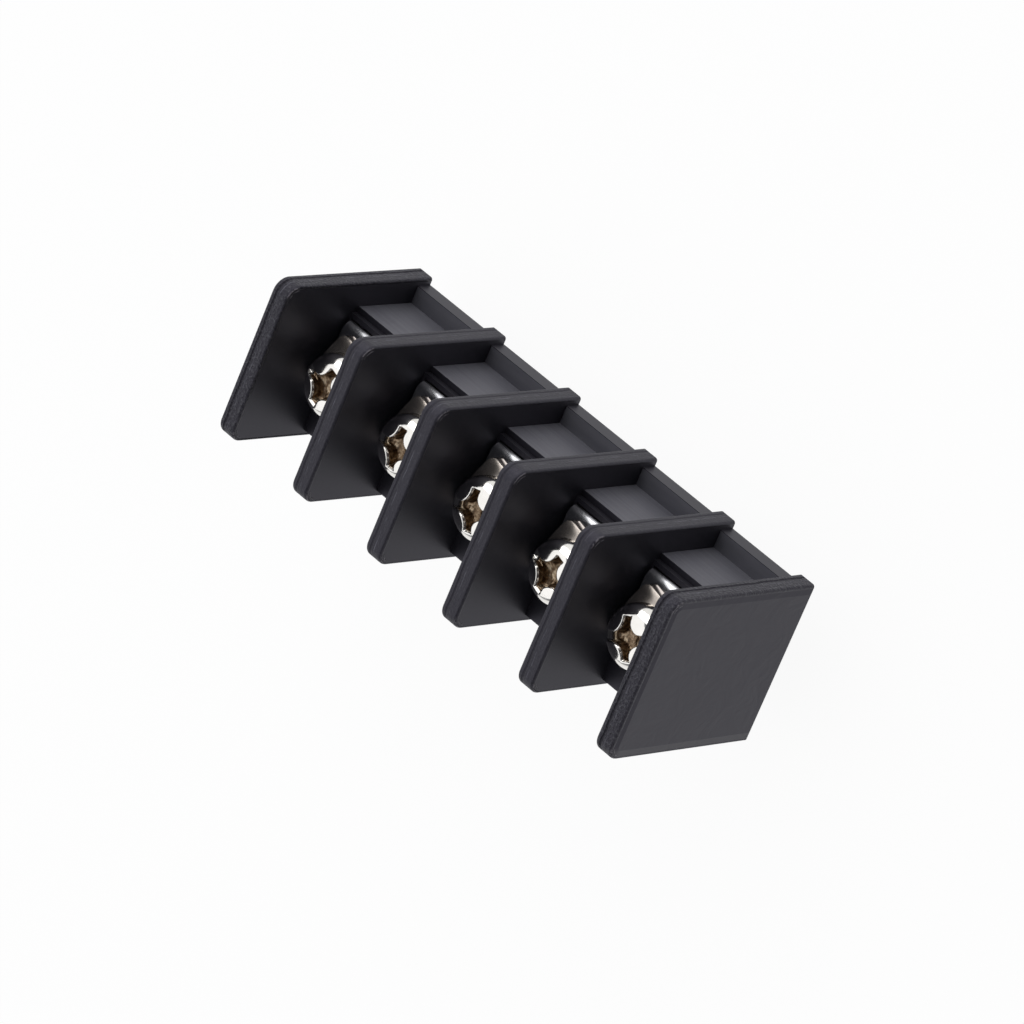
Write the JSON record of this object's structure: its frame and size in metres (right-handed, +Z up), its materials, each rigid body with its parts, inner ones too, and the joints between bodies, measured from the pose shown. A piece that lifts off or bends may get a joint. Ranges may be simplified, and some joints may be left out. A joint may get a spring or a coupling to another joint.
{
  "type": "barrier terminal strip",
  "caption": "Board-mounted barrier terminal strip: black moulded body with upright barriers, bent terminals, bowed clamp plates and pan head combination screws.",
  "frame": {"origin": "centre of the face that sits on the board, midway along the strip and midway through the depth of its barriers", "axes": "+X along the strip, +Z up out of the board along the screws, -Y towards the side with the pockets and the solder pins"},
  "size_m": [0.0494, 0.015, 0.0208],
  "materials": {
    "housing": "satin moulded black thermoplastic",
    "terminal": "tin plated brass sheet",
    "clamp": "nickel plated steel sheet",
    "screw": "bright nickel plated steel"
  },
  "bodies": {
    "strip": {"housing": "housing", "terminal_1": "terminal", "terminal_2": "terminal", "terminal_3": "terminal", "terminal_4": "terminal", "terminal_5": "terminal"},
    "plate_1": {"clamp_1": "clamp"},
    "bolt_1": {"screw_1": "screw"},
    "plate_2": {"clamp_2": "clamp"},
    "bolt_2": {"screw_2": "screw"},
    "plate_3": {"clamp_3": "clamp"},
    "bolt_3": {"screw_3": "screw"},
    "plate_4": {"clamp_4": "clamp"},
    "bolt_4": {"screw_4": "screw"},
    "plate_5": {"clamp_5": "clamp"},
    "bolt_5": {"screw_5": "screw"}
  },
  "joints": [
    {"name": "clamp_1_lift", "type": "slide", "parent": "strip", "child": "plate_1", "axis": [0, 0, 1], "range_m": [0, 0.003]},
    {"name": "screw_1_turn", "type": "hinge", "parent": "plate_1", "child": "bolt_1", "pos_m": [-0.019, 0, 0.011], "axis": [0, 0, 1], "range_deg": [0, 2160]},
    {"name": "clamp_2_lift", "type": "slide", "parent": "strip", "child": "plate_2", "axis": [0, 0, 1], "range_m": [0, 0.003]},
    {"name": "screw_2_turn", "type": "hinge", "parent": "plate_2", "child": "bolt_2", "pos_m": [-0.0095, 0, 0.011], "axis": [0, 0, 1], "range_deg": [0, 2160]},
    {"name": "clamp_3_lift", "type": "slide", "parent": "strip", "child": "plate_3", "axis": [0, 0, 1], "range_m": [0, 0.003]},
    {"name": "screw_3_turn", "type": "hinge", "parent": "plate_3", "child": "bolt_3", "pos_m": [0, 0, 0.011], "axis": [0, 0, 1], "range_deg": [0, 2160]},
    {"name": "clamp_4_lift", "type": "slide", "parent": "strip", "child": "plate_4", "axis": [0, 0, 1], "range_m": [0, 0.003]},
    {"name": "screw_4_turn", "type": "hinge", "parent": "plate_4", "child": "bolt_4", "pos_m": [0.0095, 0, 0.011], "axis": [0, 0, 1], "range_deg": [0, 2160]},
    {"name": "clamp_5_lift", "type": "slide", "parent": "strip", "child": "plate_5", "axis": [0, 0, 1], "range_m": [0, 0.003]},
    {"name": "screw_5_turn", "type": "hinge", "parent": "plate_5", "child": "bolt_5", "pos_m": [0.019, 0, 0.011], "axis": [0, 0, 1], "range_deg": [0, 2160]}
  ],
  "couplings": [
    {"joint": "screw_1_turn", "follows": "clamp_1_lift", "rad_per_m": 12566},
    {"joint": "screw_2_turn", "follows": "clamp_2_lift", "rad_per_m": 12566},
    {"joint": "screw_3_turn", "follows": "clamp_3_lift", "rad_per_m": 12566},
    {"joint": "screw_4_turn", "follows": "clamp_4_lift", "rad_per_m": 12566},
    {"joint": "screw_5_turn", "follows": "clamp_5_lift", "rad_per_m": 12566}
  ]
}
